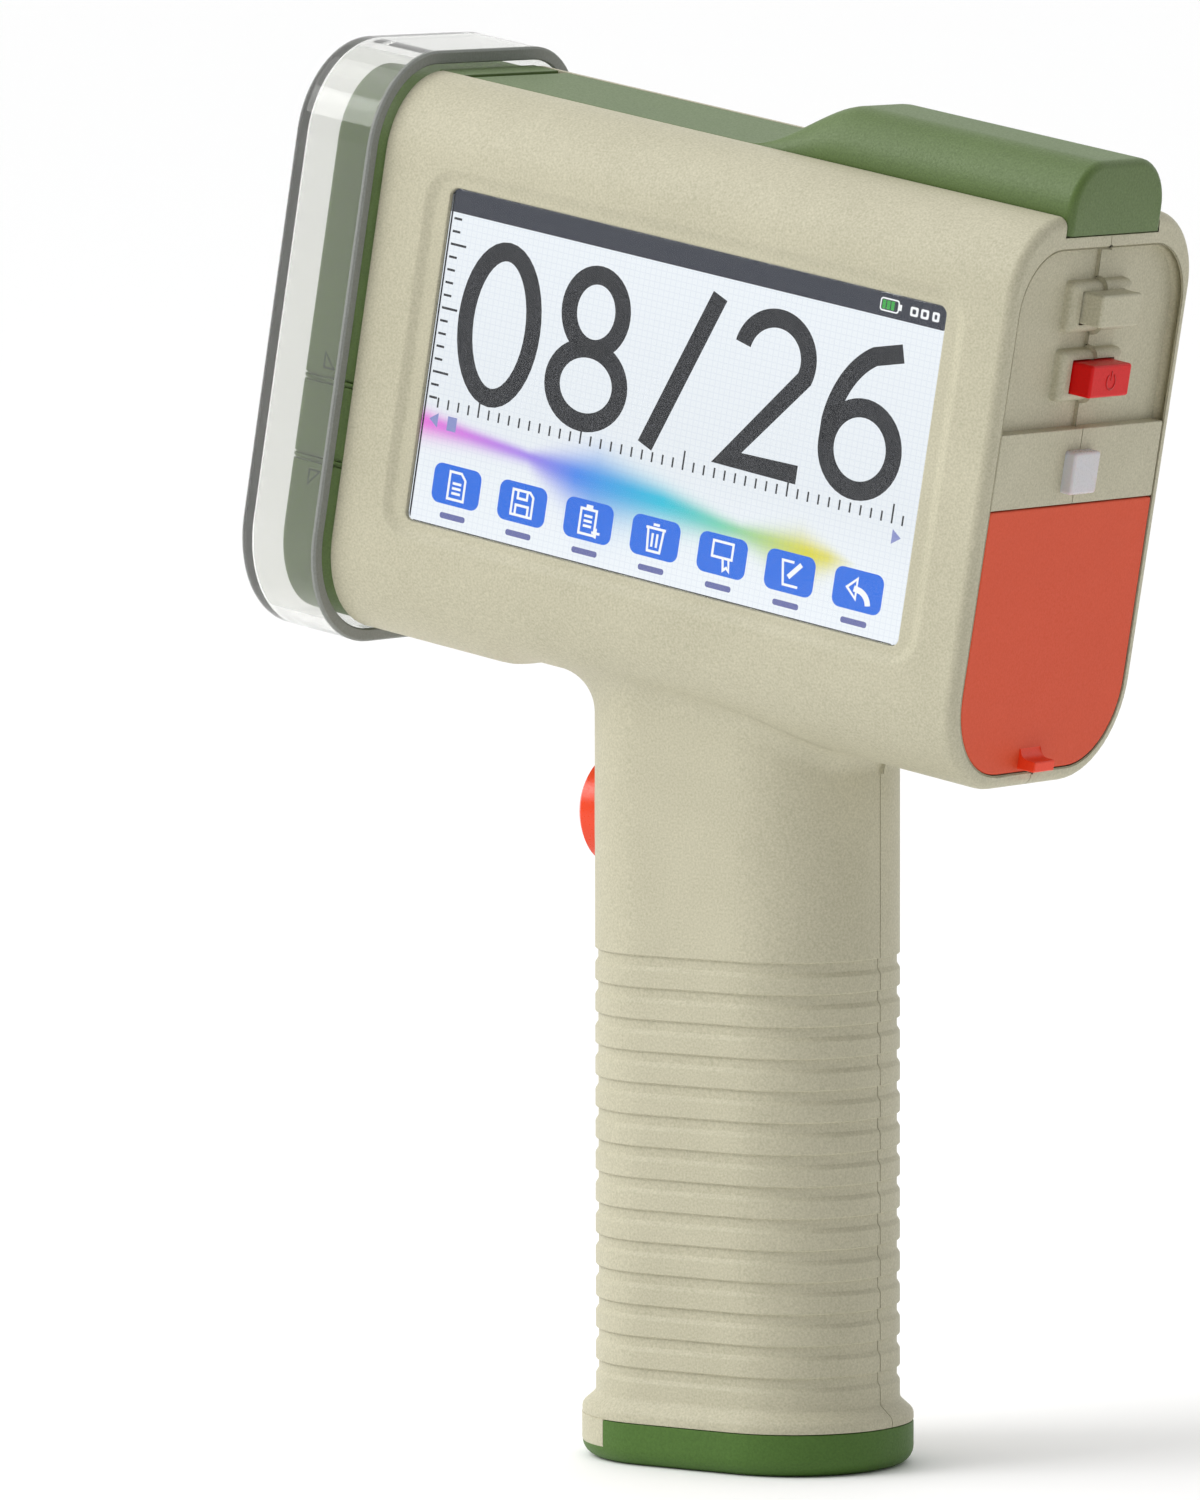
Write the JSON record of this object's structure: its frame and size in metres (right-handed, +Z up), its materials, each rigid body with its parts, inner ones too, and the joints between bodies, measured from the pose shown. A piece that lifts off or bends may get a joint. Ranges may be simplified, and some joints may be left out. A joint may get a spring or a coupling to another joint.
{
  "type": "handheld date code inkjet printer",
  "caption": "Pistol-grip handheld inkjet coder: tilted head with touch screen, clear nose cover, cartridge lid, rear door, buttons and a trigger.",
  "frame": {"origin": "on the ground under the middle of the grip, at the foot cap's underside", "axes": "+Z up along the grip; +X towards the rear end with the buttons and the door, -X towards the print nose; -Y is the side that carries the screen"},
  "size_m": [0.1545, 0.0576, 0.2278],
  "materials": {
    "beige_abs": "fine matte moulded ABS",
    "green_abs": "fine matte moulded ABS",
    "green_foot": "fine matte moulded ABS",
    "clear_cover": "clear polycarbonate, smoky at its edges",
    "orange_door": "satin moulded ABS",
    "orange_trigger": "semi-gloss moulded ABS",
    "red_button": "semi-gloss moulded ABS",
    "light_pipe": "milky diffusing polycarbonate",
    "screen_glass": "clear touch glass",
    "display": "lit display",
    "black_rubber": "matte rubber",
    "black_plastic": "matte moulded plastic",
    "cartridge_black": "satin moulded plastic",
    "battery_wrap": "shrink-wrapped film",
    "circuit_board": "solder mask",
    "flex_film": "polyimide film",
    "gold_contact": "gold-plated",
    "hub_aluminium": "turned",
    "steel": "bright"
  },
  "bodies": {
    "printer_body": {"front_shell": "beige_abs", "back_shell": "beige_abs", "nose_frame": "green_abs", "lid_hinge_pin": "steel", "door_hinge_pin": "steel", "touch_glass": "screen_glass", "display_panel": "display", "display_gasket": "black_rubber", "display_cable": "flex_film", "main_board": "circuit_board", "board_chips": "black_plastic", "board_screws": "steel", "cartridge_cradle": "black_plastic", "ink_cartridge": "cartridge_black", "nozzle_plate": "flex_film", "contact_board": "circuit_board", "contact_pins": "gold_contact", "encoder_axle": "steel", "encoder_sensor": "black_plastic", "guide_axle": "steel", "button_board": "circuit_board", "button_switches": "black_plastic", "status_led": "light_pipe", "light_pipe": "light_pipe", "battery_tray": "black_plastic", "battery_pack": "battery_wrap", "battery_contacts": "gold_contact", "usb_port": "steel", "trigger_guide": "black_plastic", "trigger_spring": "steel", "trigger_switch": "black_plastic", "foot_cap": "green_foot", "foot_screws": "steel", "shell_screws": "steel"},
    "cover": {"nose_cover": "clear_cover"},
    "lid": {"cartridge_lid": "green_abs"},
    "door": {"battery_door": "orange_door"},
    "encoder_roller": {"encoder_tyre": "black_rubber", "encoder_hub": "hub_aluminium", "encoder_disc": "steel"},
    "guide_roller": {"guide_tyre": "black_rubber", "guide_hub": "hub_aluminium"},
    "mode_button": {"mode_button": "beige_abs"},
    "power_button": {"power_button": "red_button"},
    "trigger": {"trigger": "orange_trigger"}
  },
  "joints": [
    {"name": "cover_pull", "type": "slide", "parent": "printer_body", "child": "cover", "axis": [-0.9848, 0, 0.1736], "range_m": [0, 0.024]},
    {"name": "lid_hinge", "type": "hinge", "parent": "printer_body", "child": "lid", "pos_m": [-0.04382, 0, 0.21904], "axis": [0, -1, 0], "range_deg": [0, 80]},
    {"name": "door_hinge", "type": "hinge", "parent": "printer_body", "child": "door", "pos_m": [0.05911, 0, 0.15377], "axis": [0, -1, 0], "range_deg": [0, 95]},
    {"name": "encoder_spin", "type": "hinge", "parent": "printer_body", "child": "encoder_roller", "pos_m": [-0.06006, 0, 0.19834], "axis": [0, 1, 0], "continuous": true},
    {"name": "guide_spin", "type": "hinge", "parent": "printer_body", "child": "guide_roller", "pos_m": [-0.06943, 0, 0.14516], "axis": [0, 1, 0], "continuous": true},
    {"name": "mode_press", "type": "slide", "parent": "printer_body", "child": "mode_button", "axis": [-0.9848, 0, 0.1736], "range_m": [0, 0.0012], "stiffness_N_per_m": 300, "springref_m": -0.0006},
    {"name": "power_press", "type": "slide", "parent": "printer_body", "child": "power_button", "axis": [-0.9848, 0, 0.1736], "range_m": [0, 0.0012], "stiffness_N_per_m": 300, "springref_m": -0.0006},
    {"name": "trigger_pull", "type": "slide", "parent": "printer_body", "child": "trigger", "axis": [1, 0, 0], "range_m": [0, 0.0025], "stiffness_N_per_m": 400, "springref_m": -0.002}
  ]
}
